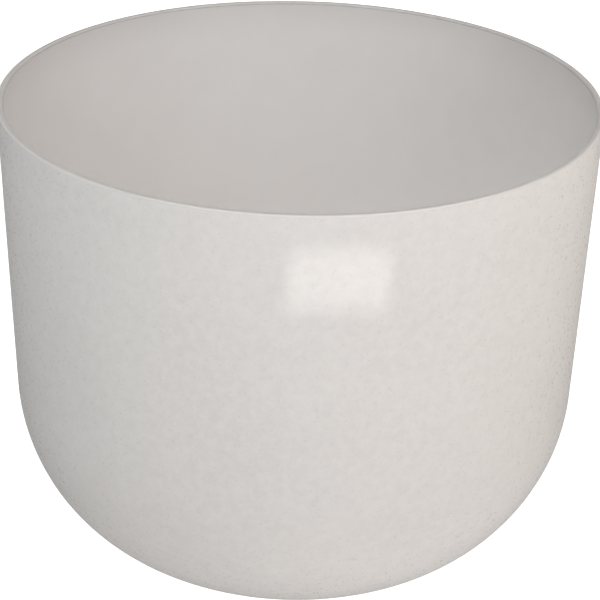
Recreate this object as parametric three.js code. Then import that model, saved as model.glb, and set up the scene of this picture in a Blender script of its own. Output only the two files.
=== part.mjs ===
// A frosted quartz singing bowl of 12 inches, standing on its rubber ring.
//
// The bowl is one piece of fused quartz, shaped like the crucibles that such bowls are made from: a wall that
// tapers a little towards the base, a large round corner and a shallow domed base. The rim is cut flat and its
// two edges are eased. A domed base would rock on a table, so the bowl stands on a loose rubber O-ring. The ring
// also lets it ring freely.
//
// Millimetres, +Z up. The origin is on the table, on the bowl's axis.

import * as THREE from "three";

// The bowl, outside
const RIM_RADIUS = 152.4; // 12 inches across the rim
const BOWL_HEIGHT = 254; // 10 inches, from the middle of the base to the rim
const WALL_TAPER = THREE.MathUtils.degToRad(3.2);
const CORNER_RADIUS = 102;
const DOME_RADIUS = 2 * RIM_RADIUS;

// The bowl, inside: the quartz is thinnest at the rim and thickens all the way down to the middle of the base
const RIM_WALL = 3.9;
const CORNER_WALL = 6;
const BASE_WALL = 8;
const EXTRA_TAPER = THREE.MathUtils.degToRad(0.4); // what thickens the wall on its way down to the corner
const INNER_TAPER = WALL_TAPER + EXTRA_TAPER;
const INNER_CORNER_RADIUS = CORNER_RADIUS - CORNER_WALL;
const INNER_DOME_RADIUS = DOME_RADIUS - BASE_WALL;

// The rim
const RIM_EASE = 0.7; // the small bevel on each of its two edges

// The ring
const RING_RADIUS = 43; // of the circle through the middles of its section
const CORD_RADIUS = 5; // the section is round, 10 mm across
const FOOT_SQUASH = 0.35; // how far the bowl's weight has flattened the section at the table
const RING_TO_BOWL = 0.3; // clearance, so that the two solids never share any space

// Facets
const BOWL_SEGMENTS = 96;
const RING_SEGMENTS = 64;
const SECTION_STEPS = 16;
const CORNER_STEPS = 10;
const DOME_STEPS = 3;

// Where the bowl sits: its dome touches the ring's section from inside the circle of its middles.
const SECTION_HEIGHT = CORD_RADIUS - FOOT_SQUASH;
const DOME_TO_SECTION = DOME_RADIUS + CORD_RADIUS + RING_TO_BOWL;
const DOME_CENTRE_HEIGHT = SECTION_HEIGHT + Math.sqrt(DOME_TO_SECTION ** 2 - RING_RADIUS ** 2);
const BASE_HEIGHT = DOME_CENTRE_HEIGHT - DOME_RADIUS;
const RIM_HEIGHT = BASE_HEIGHT + BOWL_HEIGHT;

// Points on an arc in the (radius, height) plane, both ends included.
function arc(centre, radius, from, to, steps) {
  const points = [];
  for (let i = 0; i <= steps; i++) {
    const angle = from + ((to - from) * i) / steps;
    const reach = new THREE.Vector2(Math.cos(angle), Math.sin(angle)).multiplyScalar(radius);
    points.push(reach.add(centre));
  }
  return points;
}

// Half of a bowl's section, from the middle of its base up to its rim: a dome arc, a corner arc that is tangent to
// it, and a straight wall that is tangent to the corner and ends at the point (rimRadius, rimHeight).
function bowlSection({ rimRadius, rimHeight, baseHeight, taper, cornerRadius, domeRadius }) {
  const rim = new THREE.Vector2(rimRadius, rimHeight);
  const down = new THREE.Vector2(-Math.sin(taper), -Math.cos(taper));
  const inward = new THREE.Vector2(-Math.cos(taper), Math.sin(taper));
  const domeCentre = new THREE.Vector2(0, baseHeight + domeRadius);

  // The corner's centre lies on a line parallel to the wall, as far from the dome's centre as tangency needs.
  const start = rim.clone().addScaledVector(inward, cornerRadius).sub(domeCentre);
  const along = start.dot(down);
  const apart = domeRadius - cornerRadius;
  const wallLength = -along + Math.sqrt(along ** 2 - start.lengthSq() + apart ** 2);
  const cornerCentre = rim.clone().addScaledVector(inward, cornerRadius).addScaledVector(down, wallLength);

  const tangentAngle = cornerCentre.clone().sub(domeCentre).angle() - 2 * Math.PI;
  return [
    ...arc(domeCentre, domeRadius, -Math.PI / 2, tangentAngle, DOME_STEPS),
    ...arc(cornerCentre, cornerRadius, tangentAngle, -taper, CORNER_STEPS).slice(1),
    rim,
  ];
}

// Turns a closed section, listed anticlockwise in the (radius, height) plane, about the Z axis.
function revolve(section, segments) {
  return new THREE.LatheGeometry(section, segments).rotateX(Math.PI / 2);
}

function bowl() {
  const outside = bowlSection({
    rimRadius: RIM_RADIUS,
    rimHeight: RIM_HEIGHT - RIM_EASE,
    baseHeight: BASE_HEIGHT,
    taper: WALL_TAPER,
    cornerRadius: CORNER_RADIUS,
    domeRadius: DOME_RADIUS,
  });
  const inside = bowlSection({
    rimRadius: RIM_RADIUS - RIM_WALL,
    rimHeight: RIM_HEIGHT - RIM_EASE,
    baseHeight: BASE_HEIGHT + BASE_WALL,
    taper: INNER_TAPER,
    cornerRadius: INNER_CORNER_RADIUS,
    domeRadius: INNER_DOME_RADIUS,
  });
  const lip = [
    new THREE.Vector2(RIM_RADIUS - RIM_EASE, RIM_HEIGHT),
    new THREE.Vector2(RIM_RADIUS - RIM_WALL + RIM_EASE, RIM_HEIGHT),
  ];
  const section = [...outside, ...lip, ...inside.reverse()];
  section[0].x = 0;
  section.at(-1).x = 0;

  const quartz = new THREE.MeshStandardMaterial({ color: 0xdedad6, roughness: 0.5, metalness: 0 });
  const mesh = new THREE.Mesh(revolve(section, BOWL_SEGMENTS), quartz);
  mesh.name = "bowl";
  return mesh;
}

function supportRing() {
  const centre = new THREE.Vector2(RING_RADIUS, SECTION_HEIGHT);
  const footAngle = Math.acos(SECTION_HEIGHT / CORD_RADIUS); // half of the arc that the flat foot replaces
  const section = arc(centre, CORD_RADIUS, footAngle - Math.PI / 2, 1.5 * Math.PI - footAngle, SECTION_STEPS);
  section.push(section[0].clone());

  const rubber = new THREE.MeshStandardMaterial({ color: 0x1f1f20, roughness: 0.75, metalness: 0 });
  const mesh = new THREE.Mesh(revolve(section, RING_SEGMENTS), rubber);
  mesh.name = "support_ring";
  return mesh;
}

const singingBowl = new THREE.Group();
singingBowl.add(bowl(), supportRing());

export default singingBowl;
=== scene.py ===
"""A frosted quartz singing bowl on its rubber ring, in a pale studio. Blender 4.5, metres, +Z up.

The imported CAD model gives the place, the size and the motion of both pieces. This script gives them fine
meshes and their materials: quartz that is grainy outside, satin inside and ground along the lip, and
moulded rubber. The studio is a glowing floor, four softboxes, and a projector that lights a patch under
the rim.
"""

import math

import bmesh
import bpy
from mathutils import Matrix, Vector, noise


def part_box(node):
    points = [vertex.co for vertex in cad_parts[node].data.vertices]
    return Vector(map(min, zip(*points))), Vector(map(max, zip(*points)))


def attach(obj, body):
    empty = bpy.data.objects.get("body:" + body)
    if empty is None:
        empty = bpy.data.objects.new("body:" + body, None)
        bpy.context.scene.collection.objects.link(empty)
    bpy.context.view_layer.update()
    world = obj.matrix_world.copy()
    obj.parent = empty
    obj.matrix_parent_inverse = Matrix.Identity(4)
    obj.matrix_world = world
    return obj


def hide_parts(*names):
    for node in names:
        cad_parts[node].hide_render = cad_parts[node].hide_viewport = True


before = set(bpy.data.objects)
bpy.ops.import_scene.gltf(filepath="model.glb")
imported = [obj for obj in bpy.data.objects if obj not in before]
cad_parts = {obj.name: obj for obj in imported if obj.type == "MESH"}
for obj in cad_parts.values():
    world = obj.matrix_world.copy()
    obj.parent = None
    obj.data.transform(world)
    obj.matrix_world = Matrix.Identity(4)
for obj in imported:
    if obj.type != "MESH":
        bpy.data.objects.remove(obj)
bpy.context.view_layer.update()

MM = 0.001
BOWL_LOW, BOWL_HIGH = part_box("bowl")
RING_LOW, RING_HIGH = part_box("support_ring")

# The bowl, as the CAD model has it. Its width and heights are the CAD node's own.
RIM_RADIUS = BOWL_HIGH.x
RIM_HEIGHT = BOWL_HIGH.z
BASE_HEIGHT = BOWL_LOW.z
WALL_TAPER = math.radians(3.2)
CORNER_RADIUS = 102 * MM
DOME_RADIUS = 2 * RIM_RADIUS
RIM_WALL = 3.9 * MM
CORNER_WALL = 6 * MM
BASE_WALL = 8 * MM
EXTRA_TAPER = math.radians(0.4)
RIM_EASE = 0.7 * MM  # the bevel on each edge of the lip

# The ring: its cord is round, with a flat foot under the bowl's weight.
CORD_RADIUS = 5 * MM
RING_RADIUS = RING_HIGH.x - CORD_RADIUS
CORD_HEIGHT = RING_HIGH.z - CORD_RADIUS


# ---------------------------------------------------------------- camera

CAMERA_DISTANCE = 9.853 * RIM_RADIUS  # from the middle of the rim
CAMERA_ELEVATION = math.radians(20.576)
CAMERA_PITCH = math.radians(24.440)  # how far it looks down: its aim is below the rim
CAMERA_YAW = math.radians(0.088)
CAMERA_ROLL = math.radians(1.419)
CAMERA_LENS = 179.2  # mm
SENSOR_WIDTH = 36  # mm


def make_camera():
    """In front of the bowl and above its rim, as in the photograph."""
    data = bpy.data.cameras.new("camera")
    data.lens = CAMERA_LENS
    data.sensor_width = SENSOR_WIDTH
    camera = bpy.data.objects.new("camera", data)
    bpy.context.scene.collection.objects.link(camera)
    ahead = Vector((
        math.sin(CAMERA_YAW) * math.cos(CAMERA_PITCH),
        math.cos(CAMERA_YAW) * math.cos(CAMERA_PITCH),
        -math.sin(CAMERA_PITCH),
    ))
    right = Vector((math.cos(CAMERA_YAW), -math.sin(CAMERA_YAW), 0))
    up = right.cross(ahead)
    level = Matrix((right, up, -ahead)).transposed().to_4x4()
    place = Vector((0, -math.cos(CAMERA_ELEVATION), math.sin(CAMERA_ELEVATION))) * CAMERA_DISTANCE
    place.z += RIM_HEIGHT
    camera.matrix_world = Matrix.Translation(place) @ level @ Matrix.Rotation(CAMERA_ROLL, 4, "Z")
    bpy.context.scene.camera = camera


make_camera()


# ---------------------------------------------------------------- turned meshes

def arc(centre, radius, start, stop, steps):
    """Points on an arc in the (radius, height) plane, both ends included."""
    angles = [start + (stop - start) * i / steps for i in range(steps + 1)]
    return [centre + radius * Vector((math.cos(a), math.sin(a))) for a in angles]


def line(start, stop, steps):
    """Points on a straight line, both ends included."""
    return [start.lerp(stop, i / steps) for i in range(steps + 1)]


def turn(name, section, segments, closed):
    """A mesh object made by turning a section of the (radius, height) plane about Z.

    A closed section joins its end to its start. A point on the axis becomes a single vertex. Returns the
    object and, for each face, the number of the section's step that it came from.
    """
    mesh = bmesh.new()
    rows = []
    for point in section:
        if point.x == 0:
            rows.append([mesh.verts.new((0, 0, point.y))] * segments)
            continue
        row = []
        for i in range(segments):
            angle = 2 * math.pi * i / segments
            x, y = point.x * math.cos(angle), point.x * math.sin(angle)
            row.append(mesh.verts.new((x, y, point.y)))
        rows.append(row)
    step_of_face = []
    for step in range(len(rows) if closed else len(rows) - 1):
        low, high = rows[step], rows[(step + 1) % len(rows)]
        for i in range(segments):
            j = (i + 1) % segments
            corners = dict.fromkeys((low[i], low[j], high[j], high[i]))
            mesh.faces.new(list(corners))
            step_of_face.append(step)
    data = bpy.data.meshes.new(name)
    mesh.to_mesh(data)
    mesh.free()
    data.polygons.foreach_set("use_smooth", [True] * len(data.polygons))
    piece = bpy.data.objects.new(name, data)
    bpy.context.scene.collection.objects.link(piece)
    return piece, step_of_face


def smooth_step(value, low, high):
    """0 below low, 1 above high, and a smooth curve between them."""
    share = min(max((value - low) / (high - low), 0), 1)
    return share * share * (3 - 2 * share)


# ---------------------------------------------------------------- the bowl

BOWL_SEGMENTS = 384
OUTSIDE_STEPS = (20, 44, 54)  # on the dome, the corner and the wall
INSIDE_STEPS = (16, 34, 40)
EASE_STEPS = 8
LIP_STEPS = 5
EASE_RADIUS = RIM_EASE / (2 - math.sqrt(2))  # a rounding that cuts the edge as deep as the CAD's bevel

# How far the true shape is hollowed, always into the quartz, so that the bowl stays inside the CAD box
WAVE_DEPTH = 0.4 * MM
WAVE_SIZE = 85 * MM
PEBBLE_DEPTH = 0.09 * MM
PEBBLE_SIZE = 8 * MM
INSIDE_WAVE_DEPTH = 0.25 * MM
GRINDING_DEPTH = 0.05 * MM  # on the lip, where the grinding wheel left it almost flat
GRINDING_SIZE = 2 * PEBBLE_SIZE
WAVE_SEED, PEBBLE_SEED, INSIDE_SEED, GRINDING_SEED = 3, 7, 11, 13
# The outside's waves grow from nothing to their full depth between these radii, clear of the ring.
WAVES_START, WAVES_FULL = 1.3 * RING_RADIUS, 2 * RING_RADIUS


def bowl_side(rim, base_height, taper, corner_radius, dome_radius, steps):
    """One side of the bowl, from the middle of its base up to rim: dome, round corner, straight wall."""
    down = Vector((-math.sin(taper), -math.cos(taper)))
    inward = Vector((-math.cos(taper), math.sin(taper)))
    dome_centre = Vector((0, base_height + dome_radius))
    start = rim + inward * corner_radius - dome_centre
    along = start.dot(down)
    apart = dome_radius - corner_radius
    wall = -along + math.sqrt(along ** 2 - start.length_squared + apart ** 2)
    corner_centre = rim + inward * corner_radius + down * wall
    spoke = corner_centre - dome_centre
    tangent = math.atan2(spoke.y, spoke.x)
    dome_steps, corner_steps, wall_steps = steps
    side = [
        *arc(dome_centre, dome_radius, -math.pi / 2, tangent, dome_steps),
        *arc(corner_centre, corner_radius, tangent, -taper, corner_steps)[1:],
        *line(rim + down * wall, rim, wall_steps)[1:],
    ]
    side[0].x = 0
    return side


def bowl_section():
    """The whole section, from the middle of the base outside to the middle of the base inside.

    Also returns the numbers of the steps at which the lip starts and stops.
    """
    outer_rim = Vector((RIM_RADIUS, RIM_HEIGHT - EASE_RADIUS))
    inner_rim = Vector((RIM_RADIUS - RIM_WALL, RIM_HEIGHT - EASE_RADIUS))
    outside = bowl_side(outer_rim, BASE_HEIGHT, WALL_TAPER, CORNER_RADIUS, DOME_RADIUS, OUTSIDE_STEPS)
    inside = bowl_side(
        inner_rim,
        BASE_HEIGHT + BASE_WALL,
        WALL_TAPER + EXTRA_TAPER,
        CORNER_RADIUS - CORNER_WALL,
        DOME_RADIUS - BASE_WALL,
        INSIDE_STEPS,
    )
    ease = Vector((EASE_RADIUS, 0))
    outer_ease = arc(outer_rim - ease, EASE_RADIUS, 0, math.pi / 2, EASE_STEPS)
    inner_ease = arc(inner_rim + ease, EASE_RADIUS, math.pi / 2, math.pi, EASE_STEPS)
    lip = [*outer_ease[1:], *line(outer_ease[-1], inner_ease[0], LIP_STEPS)[1:], *inner_ease[1:]]
    lip_start = len(outside) - 1
    return [*outside, *lip, *reversed(inside[:-1])], lip_start, lip_start + len(lip)


def hollow(point, size, seed):
    """Smooth noise from 0 to 1, of features about size across."""
    return 0.5 + 0.5 * noise.noise(point / size + Vector((seed, seed, seed)))


def roughen_bowl(bowl):
    """Gives the turned shape what its making leaves: slow waves, a pebbly outside, a nearly flat lip."""
    shape = [(vertex.co.copy(), vertex.normal.copy()) for vertex in bowl.data.vertices]
    for vertex, (place, normal) in zip(bowl.data.vertices, shape):
        faces_out = normal.x * place.x + normal.y * place.y > 0
        is_outside = faces_out or place.z < BASE_HEIGHT + BASE_WALL / 2
        upright = 1 - abs(normal.z) if place.z > RIM_HEIGHT - EASE_RADIUS else 1
        if is_outside:
            clear_of_ring = smooth_step(math.hypot(place.x, place.y), WAVES_START, WAVES_FULL)
            wave = WAVE_DEPTH * clear_of_ring * hollow(place, WAVE_SIZE, WAVE_SEED)
            depth = upright * (wave + PEBBLE_DEPTH * hollow(place, PEBBLE_SIZE, PEBBLE_SEED))
        else:
            depth = upright * INSIDE_WAVE_DEPTH * hollow(place, WAVE_SIZE, INSIDE_SEED)
        depth += (1 - upright) * GRINDING_DEPTH * hollow(place, GRINDING_SIZE, GRINDING_SEED)
        vertex.co = place - normal * depth


def make_bowl(outside, lip, inside):
    """The bowl: one mesh, with a material for each of its three finishes."""
    section, lip_start, lip_stop = bowl_section()
    bowl, step_of_face = turn("quartz_bowl", section, BOWL_SEGMENTS, closed=False)
    roughen_bowl(bowl)
    for material in (outside, lip, inside):
        bowl.data.materials.append(material)
    zones = [(step >= lip_start) + (step >= lip_stop) for step in step_of_face]
    bowl.data.polygons.foreach_set("material_index", zones)
    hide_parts("bowl")
    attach(bowl, "bowl")


# ---------------------------------------------------------------- the ring

RING_SEGMENTS = 256
CORD_STEPS = 96
FLASH_HEIGHT = 0.12 * MM  # the fine line that the two halves of the mould leave round the ring
FLASH_WIDTH = 0.35 * MM
CONTACT_BULGE = 0.45 * MM  # how far the cord swells up to meet the bowl
CONTACT_ANGLE = math.radians(24)  # how far the swelling spreads round the cord
CONTACT_GAP = 0.02 * MM  # between the rubber and the quartz


def ring_section():
    """The cord's section: round, with a flat foot, two mould lines, and a top shaped to the dome."""
    centre = Vector((RING_RADIUS, CORD_HEIGHT))
    dome_centre = Vector((0, BASE_HEIGHT + DOME_RADIUS))
    towards_dome = math.atan2(dome_centre.y - centre.y, dome_centre.x - centre.x)
    points = []
    for i in range(CORD_STEPS):
        angle = 2 * math.pi * i / CORD_STEPS
        spoke = Vector((math.cos(angle), math.sin(angle)))
        flash = FLASH_HEIGHT * math.exp(-((spoke.y * CORD_RADIUS / FLASH_WIDTH) ** 2))
        bulge = CONTACT_BULGE * math.exp(-(((angle - towards_dome) / CONTACT_ANGLE) ** 2))
        point = centre + spoke * (CORD_RADIUS + flash + bulge)
        from_dome = point - dome_centre
        if from_dome.length < DOME_RADIUS + CONTACT_GAP:
            point = dome_centre + from_dome.normalized() * (DOME_RADIUS + CONTACT_GAP)
        point.y = max(point.y, RING_LOW.z)
        points.append(point)
    return points


def make_ring(rubber):
    """The ring that the bowl stands on."""
    ring = turn("rubber_ring", ring_section(), RING_SEGMENTS, closed=True)[0]
    ring.data.materials.append(rubber)
    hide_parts("support_ring")
    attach(ring, "ring")


# ---------------------------------------------------------------- material tools

NOISE_LOW, NOISE_HIGH = 0.3, 0.7  # nearly all of a noise texture's values lie between these


class Graph:
    """A material's node tree, with short calls that add a node and give back its output."""

    def __init__(self, name):
        self.material = bpy.data.materials.new(name)
        self.material.use_nodes = True
        self.tree = self.material.node_tree
        self.shader = self.tree.nodes["Principled BSDF"]
        self.place = self.add("ShaderNodeTexCoord").outputs["Object"]

    def put(self, socket, value):
        if isinstance(value, bpy.types.NodeSocket):
            self.tree.links.new(value, socket)
        else:
            socket.default_value = value

    def add(self, kind, inputs=None, **settings):
        node = self.tree.nodes.new(kind)
        for name, value in settings.items():
            setattr(node, name, value)
        for name, value in (inputs or {}).items():
            self.put(node.inputs[name], value)
        return node

    def maths(self, operation, first, second=0.0):
        node = self.add("ShaderNodeMath", operation=operation)
        self.put(node.inputs[0], first)
        self.put(node.inputs[1], second)
        return node.outputs["Value"]

    def axes(self):
        """The X, Y and Z of the place on the surface."""
        return self.add("ShaderNodeSeparateXYZ", {"Vector": self.place}).outputs

    def from_axis(self):
        """How far the place is from the bowl's axis."""
        axes = self.axes()
        squares = [self.maths("MULTIPLY", axes[name], axes[name]) for name in "XY"]
        return self.maths("SQRT", self.maths("ADD", *squares))

    def span(self, value, low, high, to_low=0.0, to_high=1.0):
        """value, carried from low..high to to_low..to_high and held there."""
        inputs = {"Value": value, "From Min": low, "From Max": high, "To Min": to_low, "To Max": to_high}
        return self.add("ShaderNodeMapRange", inputs).outputs["Result"]

    def noise(self, size, detail=2.0, roughness=0.5, place=None):
        """Soft noise, of features about size across."""
        inputs = {"Scale": 1 / size, "Detail": detail, "Roughness": roughness}
        inputs["Vector"] = place or self.place
        return self.add("ShaderNodeTexNoise", inputs).outputs["Fac"]

    def spread(self, noise, to_low=0.0, to_high=1.0):
        """A noise, carried to to_low..to_high."""
        return self.span(noise, NOISE_LOW, NOISE_HIGH, to_low, to_high)

    def cells(self, size):
        """Cells about size across: a random number for each, and how far its middle is, in sizes."""
        outputs = self.add("ShaderNodeTexVoronoi", {"Vector": self.place, "Scale": 1 / size}).outputs
        numbers = self.add("ShaderNodeSeparateColor", {"Color": outputs["Color"]}).outputs["Red"]
        return numbers, outputs["Distance"]

    def dots(self, spacing, radius, share):
        """1 in small round dots: one in each cell of that spacing, but only in that share of the cells."""
        numbers, distance = self.cells(spacing)
        dot = self.span(distance, radius / spacing, 0.5 * radius / spacing)
        return self.maths("MULTIPLY", dot, self.maths("LESS_THAN", numbers, share))

    def mix(self, share, first, second):
        """A colour that is first where share is 0 and second where it is 1."""
        node = self.add("ShaderNodeMix", data_type="RGBA")
        colours = [socket for socket in node.inputs if socket.type == "RGBA"]
        self.put(node.inputs["Factor"], share)
        self.put(colours[0], first)
        self.put(colours[1], second)
        return next(socket for socket in node.outputs if socket.type == "RGBA")

    def tint(self, colour, where, most, towards):
        """A colour, mixed towards another one, by most at the places where `where` is 1."""
        return self.mix(self.maths("MULTIPLY", where, most), colour, towards)

    def bump(self, height, depth):
        inputs = {"Height": height, "Distance": depth, "Strength": 1.0}
        return self.add("ShaderNodeBump", inputs).outputs["Normal"]

    def shade(self, **inputs):
        for name, value in inputs.items():
            self.put(self.shader.inputs[name.replace("_", " ")], value)


def tone(colour, share):
    """A linear colour, scaled."""
    return (*(channel * share for channel in colour), 1)


# ---------------------------------------------------------------- materials

QUARTZ = (0.760, 0.729, 0.705)
LIGHTENED_INSIDE_QUARTZ = (0.845, 0.823, 0.807)  # painted light: whiter than the outside's quartz, to make up for the light that reaches the inside less
SHADED_LIP_QUARTZ = (0.545, 0.525, 0.510)  # painted shade: darker than the rest of the quartz, so that the lip reads as a dim line
QUARTZ_IOR = 1.458
MILKINESS = 0.4  # how much of the light goes through the body of the quartz
MILK_DEPTH = (5 * MM, 4.8 * MM, 4.5 * MM)

MOTTLE_HEIGHT, GRAIN_HEIGHT, PIT_HEIGHT = 0.6, 0.4, 0.3  # shares of the depth of the outside's bumps
RUBBED_HALF_WIDTH = 2.6 * MM  # of the circle on the base that the ring rubs grey
RUBBED_FADE = 1.4 * MM
RUBBED_HEIGHT = 4 * MM  # the circle is on the base, lower than this above its middle
RUBBED_TONE = 0.45

RIM_BAND = 24 * MM  # the height of the band under the lip where the inside is painted darker, as shade, so that it is no lighter than deeper down
RIM_SHADE_TONE = 0.91
EDGE_FROSTING = 0.85  # how nearly the lip's outer edge is like the outside, without the lip's painted shade
FROSTING_START, FROSTING_END = 1.7 * MM, 0.1 * MM  # inwards from the lip's outer edge
SCRATCH_WIDTH = 0.25 * MM
SCRATCHES_PER_RADIAN = 14

RUBBER = (0.022, 0.022, 0.024)
DUST = (0.30, 0.29, 0.28, 1)


def milky(g):
    """What all the quartz shares. These are the same everywhere, so they are set on the shader itself."""
    g.shader.inputs["IOR"].default_value = QUARTZ_IOR
    g.shader.inputs["Subsurface Weight"].default_value = MILKINESS
    g.shader.inputs["Subsurface Radius"].default_value = MILK_DEPTH
    g.shader.inputs["Subsurface Scale"].default_value = 1.0
    return g.material


def rubbed(g, mottle):
    """Patches in the circle on the base where the bowl stands on its ring."""
    from_circle = g.maths("ABSOLUTE", g.maths("SUBTRACT", g.from_axis(), RING_RADIUS))
    circle = g.span(from_circle, RUBBED_HALF_WIDTH, RUBBED_HALF_WIDTH - RUBBED_FADE)
    patches = g.span(mottle, 0.3, 0.6, 0.1, 0.5)
    top = BASE_HEIGHT + RUBBED_HEIGHT
    on_base = g.span(g.axes()["Z"], top, top - 0.5 * MM)
    return g.maths("MULTIPLY", g.maths("MULTIPLY", circle, patches), on_base)


def outside_quartz():
    """Sandy and matt: quartz grains fused against the mould, with bubbles just under them."""
    g = Graph("quartz_outside")
    cloud = g.noise(size=60 * MM)
    mottle = g.noise(size=5 * MM, detail=3, roughness=0.6)
    grain = g.noise(size=1.6 * MM, detail=4, roughness=0.65)
    bubbles = g.dots(spacing=7 * MM, radius=0.7 * MM, share=0.45)
    pits = g.dots(spacing=11 * MM, radius=0.45 * MM, share=0.2)

    colour = g.mix(g.spread(cloud), tone(QUARTZ, 0.965), tone(QUARTZ, 1.000))
    colour = g.tint(colour, g.span(mottle, 0.35, 0.65), most=0.62, towards=tone(QUARTZ, 1.07))
    colour = g.tint(colour, g.span(grain, 0.42, 0.30), most=0.30, towards=tone(QUARTZ, 0.91))
    colour = g.tint(colour, bubbles, most=0.5, towards=tone(QUARTZ, 1.12))
    # Painted shade: the pits are a little darker.
    colour = g.tint(colour, pits, most=0.3, towards=tone(QUARTZ, 0.82))
    colour = g.mix(rubbed(g, mottle), colour, tone(QUARTZ, RUBBED_TONE))

    glint = g.cells(size=0.9 * MM)[0]
    roughness = g.spread(grain, 0.30, 0.44)
    roughness = g.maths("SUBTRACT", roughness, g.span(glint, 0.94, 0.97, 0, 0.15))

    mottle_height = g.maths("MULTIPLY", mottle, MOTTLE_HEIGHT)
    grain_height = g.maths("MULTIPLY", grain, GRAIN_HEIGHT)
    pit_height = g.maths("MULTIPLY", pits, PIT_HEIGHT)
    height = g.maths("SUBTRACT", g.maths("ADD", mottle_height, grain_height), pit_height)
    g.shade(Base_Color=colour, Roughness=roughness, Normal=g.bump(height, depth=0.09 * MM))
    return milky(g)


def inside_quartz():
    """Satin: the arc melted this side smooth, but left soft ripples and a few bubbles under them."""
    g = Graph("quartz_inside")
    cloud = g.noise(size=70 * MM)
    ripple = g.noise(size=16 * MM, detail=1)
    satin = g.noise(size=9 * MM, detail=3)
    bubbles = g.dots(spacing=12 * MM, radius=0.5 * MM, share=0.35)
    shade_near_lip = g.span(g.axes()["Z"], RIM_HEIGHT - RIM_BAND, RIM_HEIGHT)

    # Painted light: the whole inside is coloured whiter than the outside's quartz.
    colour = g.mix(g.spread(cloud), tone(LIGHTENED_INSIDE_QUARTZ, 0.975), tone(LIGHTENED_INSIDE_QUARTZ, 1.0))
    colour = g.tint(colour, g.span(ripple, 0.35, 0.65), most=0.3, towards=tone(LIGHTENED_INSIDE_QUARTZ, 1.03))
    colour = g.tint(colour, bubbles, most=0.35, towards=tone(LIGHTENED_INSIDE_QUARTZ, 1.12))
    # Painted shade: the inside grows darker in the band under the lip.
    colour = g.mix(g.maths("MULTIPLY", shade_near_lip, shade_near_lip), colour, tone(LIGHTENED_INSIDE_QUARTZ, RIM_SHADE_TONE))
    g.shade(Base_Color=colour, Roughness=g.spread(satin, 0.38, 0.48))
    g.shade(Normal=g.bump(ripple, depth=0.10 * MM))
    return milky(g)


def grinding_scratches(g):
    """Noise, drawn out into fine lines that run round the lip."""
    x, y, z = g.axes()
    across = g.maths("DIVIDE", g.from_axis(), SCRATCH_WIDTH)
    around = g.maths("MULTIPLY", g.maths("ARCTAN2", y, x), SCRATCHES_PER_RADIAN)
    down = g.maths("DIVIDE", z, SCRATCH_WIDTH)
    track = g.add("ShaderNodeCombineXYZ", {"X": across, "Y": around, "Z": down}).outputs["Vector"]
    return g.noise(size=1.0, detail=3, roughness=0.6, place=track)


def lip_quartz():
    """Ground and half polished: fine scratches run round it, and the wheel has nicked it in places."""
    g = Graph("quartz_lip")
    scratches = grinding_scratches(g)
    cloud = g.noise(size=12 * MM)
    nicks = g.dots(spacing=11 * MM, radius=0.7 * MM, share=0.35)
    frosting = g.span(g.from_axis(), RIM_RADIUS - FROSTING_START, RIM_RADIUS - FROSTING_END)

    # Painted shade: the lip is coloured darker, and lighter again towards its outer edge.
    colour = g.mix(g.spread(cloud), tone(SHADED_LIP_QUARTZ, 0.99), tone(SHADED_LIP_QUARTZ, 1.03))
    colour = g.tint(colour, frosting, most=EDGE_FROSTING, towards=tone(QUARTZ, 1))
    colour = g.tint(colour, g.span(scratches, 0.5, 0.7), most=0.25, towards=tone(SHADED_LIP_QUARTZ, 1.1))
    colour = g.tint(colour, nicks, most=0.4, towards=tone(SHADED_LIP_QUARTZ, 1.16))
    height = g.maths("SUBTRACT", scratches, nicks)
    g.shade(Base_Color=colour, Roughness=g.spread(scratches, 0.34, 0.46))
    g.shade(Normal=g.bump(height, depth=0.03 * MM))
    return milky(g)


def ring_rubber():
    """Black moulded rubber: matt, with a fine grain from the mould and a little pale dust."""
    g = Graph("black_rubber")
    cloud = g.noise(size=11 * MM)
    grain = g.noise(size=0.7 * MM, detail=3)
    dust = g.dots(spacing=1.6 * MM, radius=0.22 * MM, share=0.25)

    colour = g.mix(g.spread(cloud), tone(RUBBER, 0.8), tone(RUBBER, 1.35))
    colour = g.tint(colour, g.span(grain, 0.5, 0.75), most=0.4, towards=tone(RUBBER, 2.2))
    colour = g.tint(colour, dust, most=0.35, towards=DUST)
    g.shade(Base_Color=colour, Roughness=g.spread(cloud, 0.58, 0.76))
    g.shade(Normal=g.bump(grain, depth=0.03 * MM))
    return g.material


make_bowl(outside_quartz(), lip_quartz(), inside_quartz())
make_ring(ring_rubber())


# ---------------------------------------------------------------- studio

FLOOR_RADIUS = 12.0  # m
FLOOR_SEGMENTS = 96
FLOOR_COLOUR = (0.35, 0.35, 0.35, 1)
FLOOR_ROUGHNESS = 0.9
OVEREXPOSED = 1.3  # what the camera sees of the floor and of everything beyond it: clean white
REFLECTED_SHARE = 0.10  # how much of that white is in the bowl's reflections

# How strongly the floor glows close to the bowl, and what it gains further away and to the right
FLOOR_GLOW = 0.475
FAR_GLOW = 0.42
RIGHT_GLOW = 0.35
GLOW_NEAR, GLOW_FAR = 0.32, 0.71  # m from the bowl's axis
GLOW_SIDE = 0.4  # m to either side of it
LEFT_COLOUR, RIGHT_COLOUR = (0.96, 0.99, 1, 1), (1, 0.96, 0.92, 1)

# The softboxes: azimuth and elevation round the bowl in degrees, power in watts, colour
SOFTBOX_SIZE = 1.1  # m
SOFTBOX_DISTANCE = 2.2  # m
SOFTBOX_AIM = 0.15  # m above the floor
SOFTBOXES = (
    (-40, 45, 6, (0.86, 0.94, 1.00)),
    (-40, 70, 23, (0.95, 0.98, 1.00)),
    (35, 20, 13.5, (0.98, 0.98, 1.00)),
    (100, 70, 14.5, (1.00, 0.90, 0.81)),
)

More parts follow.
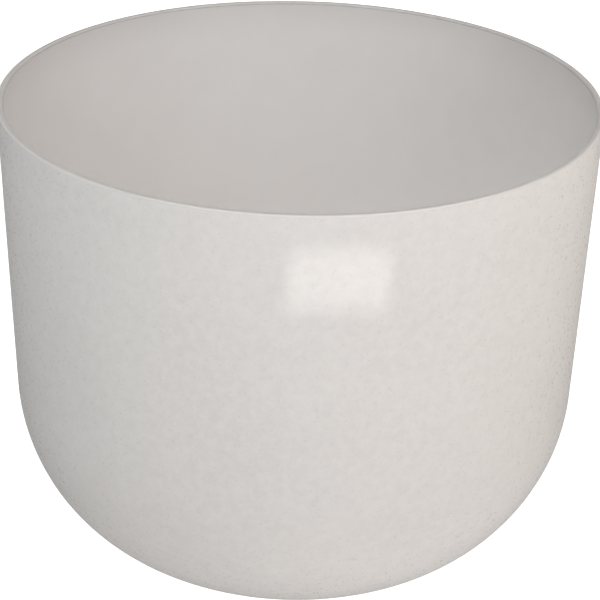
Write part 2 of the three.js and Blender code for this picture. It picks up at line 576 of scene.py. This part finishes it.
# The projector: a lamp behind a gate. It throws the gate's hole on the wall under the rim as a soft patch.
PATCH_WIDTH, PATCH_HEIGHT = 0.048, 0.031  # m
PATCH_AZIMUTH = 7.7  # degrees
PATCH_DEPTH = 0.030  # m below the rim
LAMP_ELEVATION = 50  # degrees, seen from the patch
LAMP_DISTANCE = 1.0  # m from the patch
LAMP_SIZE = 0.00085  # m
LAMP_POWER = 2.9  # W
LAMP_TO_GATE = 0.1  # m
GATE_WIDTH = 0.2  # m


def make_floor():
    """A lit sheet: clean white to the camera, and a soft glow to the bowl."""
    section = [Vector((0, 0)), Vector((FLOOR_RADIUS, 0))]
    floor = turn("floor", section, FLOOR_SEGMENTS, closed=False)[0]
    g = Graph("pale_floor")
    away = g.span(g.from_axis(), GLOW_NEAR, GLOW_FAR, 0, FAR_GLOW)
    to_right = g.span(g.axes()["X"], -GLOW_SIDE, GLOW_SIDE)
    glow = g.maths("ADD", g.maths("ADD", away, FLOOR_GLOW), g.maths("MULTIPLY", to_right, RIGHT_GLOW))
    to_camera = g.maths("MULTIPLY", g.add("ShaderNodeLightPath").outputs["Is Camera Ray"], OVEREXPOSED)
    g.shade(Base_Color=FLOOR_COLOUR, Roughness=FLOOR_ROUGHNESS)
    g.shade(Emission_Color=g.mix(to_right, LEFT_COLOUR, RIGHT_COLOUR))
    g.shade(Emission_Strength=g.maths("MAXIMUM", glow, to_camera))
    g.shader.inputs["Specular IOR Level"].default_value = 0
    floor.data.materials.append(g.material)
    floor.visible_glossy = False


def make_world():
    """White behind the bowl, and dim in its reflections. It gives no other light."""
    world = bpy.data.worlds.new("studio")
    world.use_nodes = True
    tree = world.node_tree
    background = tree.nodes["Background"]
    background.inputs["Color"].default_value = (OVEREXPOSED, OVEREXPOSED, OVEREXPOSED, 1)
    rays = tree.nodes.new("ShaderNodeLightPath").outputs
    strength = tree.nodes.new("ShaderNodeMath")
    strength.operation = "MULTIPLY_ADD"
    tree.links.new(rays["Is Glossy Ray"], strength.inputs[0])
    strength.inputs[1].default_value = REFLECTED_SHARE
    tree.links.new(rays["Is Camera Ray"], strength.inputs[2])
    tree.links.new(strength.outputs["Value"], background.inputs["Strength"])
    bpy.context.scene.world = world


def around_bowl(azimuth, elevation, distance, height):
    """A place around the bowl's axis. Azimuth 0 is in front, at the camera, and 90 is on the right."""
    turned, raised = math.radians(azimuth), math.radians(elevation)
    level = distance * math.cos(raised)
    up = height + distance * math.sin(raised)
    return Vector((level * math.sin(turned), -level * math.cos(turned), up))


def area_light(name, place, aim, size, power, colour=(1, 1, 1)):
    """A square light at place, which shines at aim and isn't seen itself."""
    data = bpy.data.lights.new(name, "AREA")
    data.shape = "RECTANGLE"
    data.size, data.size_y = size, size
    data.energy = power
    data.color = colour
    light = bpy.data.objects.new(name, data)
    bpy.context.scene.collection.objects.link(light)
    light.location = place
    light.rotation_euler = (aim - place).to_track_quat("-Z", "Y").to_euler()
    light.visible_camera = False
    return light


def make_softboxes():
    """Large square lights, all aimed at the middle of the bowl."""
    aim = Vector((0, 0, SOFTBOX_AIM))
    for azimuth, elevation, power, colour in SOFTBOXES:
        place = around_bowl(azimuth, elevation, SOFTBOX_DISTANCE, SOFTBOX_AIM)
        area_light("softbox", place, aim, SOFTBOX_SIZE, power, colour)


def make_gate(place, rotation):
    """A black square plate with a hole. The lamp throws the hole on the wall, enlarged to the patch."""
    shrink = LAMP_TO_GATE / LAMP_DISTANCE
    slant = math.cos(math.radians(LAMP_ELEVATION) + WALL_TAPER)  # the lamp sees the patch this much lower
    hole = (PATCH_WIDTH * shrink / 2, PATCH_HEIGHT * slant * shrink / 2)
    outline = (GATE_WIDTH / 2, GATE_WIDTH / 2)
    signs = ((-1, -1), (1, -1), (1, 1), (-1, 1))
    corners = [(x * width, y * height, 0) for width, height in (outline, hole) for x, y in signs]
    sides = [(i, (i + 1) % 4, 4 + (i + 1) % 4, 4 + i) for i in range(4)]
    data = bpy.data.meshes.new("projector_gate")
    data.from_pydata(corners, [], sides)
    g = Graph("black_metal")
    g.shade(Base_Color=(0, 0, 0, 1), Roughness=1.0)
    data.materials.append(g.material)
    gate = bpy.data.objects.new("projector_gate", data)
    bpy.context.scene.collection.objects.link(gate)
    gate.location = place
    gate.rotation_euler = rotation
    gate.visible_camera = False


def make_projector():
    """The lamp, aimed at the middle of the patch, and its gate on the way there."""
    aim = around_bowl(PATCH_AZIMUTH, 0, RIM_RADIUS, RIM_HEIGHT - PATCH_DEPTH)
    towards_lamp = around_bowl(PATCH_AZIMUTH, LAMP_ELEVATION, 1, 0)
    lamp = area_light("projector_lamp", aim + LAMP_DISTANCE * towards_lamp, aim, LAMP_SIZE, LAMP_POWER)
    make_gate(aim + (LAMP_DISTANCE - LAMP_TO_GATE) * towards_lamp, lamp.rotation_euler)


make_floor()
make_world()
make_softboxes()
make_projector()
bpy.context.scene.view_settings.view_transform = "Standard"
